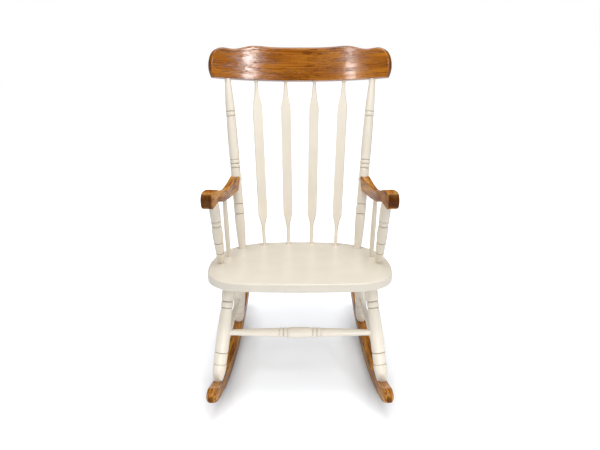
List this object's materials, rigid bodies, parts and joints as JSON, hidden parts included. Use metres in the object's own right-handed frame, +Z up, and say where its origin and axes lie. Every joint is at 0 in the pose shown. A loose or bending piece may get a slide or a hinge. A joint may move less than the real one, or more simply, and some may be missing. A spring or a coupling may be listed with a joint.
{
  "type": "rocking chair",
  "caption": "Wooden rocking chair with a bowed crest rail over flat arrow spindles, rolled arms on turned posts, and turned legs tenoned into curved rockers.",
  "frame": {"origin": "on the floor, midway between the tips of the rockers and midway between the left and right sides", "axes": "+Z up, -Y the way the sitter faces, +X to the sitter's left"},
  "size_m": [0.632, 0.8753, 1.0578],
  "materials": {
    "painted_wood": "cream paint, satin",
    "stained_oak": "oak stain under gloss lacquer",
    "dark_steel": "dark screw heads"
  },
  "bodies": {
    "root": {"seat": "painted_wood", "back_post_left": "painted_wood", "back_post_right": "painted_wood", "back_spindle_1": "painted_wood", "back_spindle_2": "painted_wood", "back_spindle_3": "painted_wood", "back_spindle_4": "painted_wood", "arm_post_left": "painted_wood", "arm_post_right": "painted_wood", "arm_spindle_left": "painted_wood", "arm_spindle_right": "painted_wood", "front_leg_left": "painted_wood", "front_leg_right": "painted_wood", "rear_leg_left": "painted_wood", "rear_leg_right": "painted_wood", "front_stretcher": "painted_wood", "rear_stretcher": "painted_wood", "side_stretcher_left": "painted_wood", "side_stretcher_right": "painted_wood", "crest_rail": "stained_oak", "arm_left": "stained_oak", "arm_right": "stained_oak", "rocker_left": "stained_oak", "rocker_right": "stained_oak", "crest_pins": "stained_oak", "arm_screws": "dark_steel", "rocker_screws": "dark_steel"}
  },
  "joints": []
}
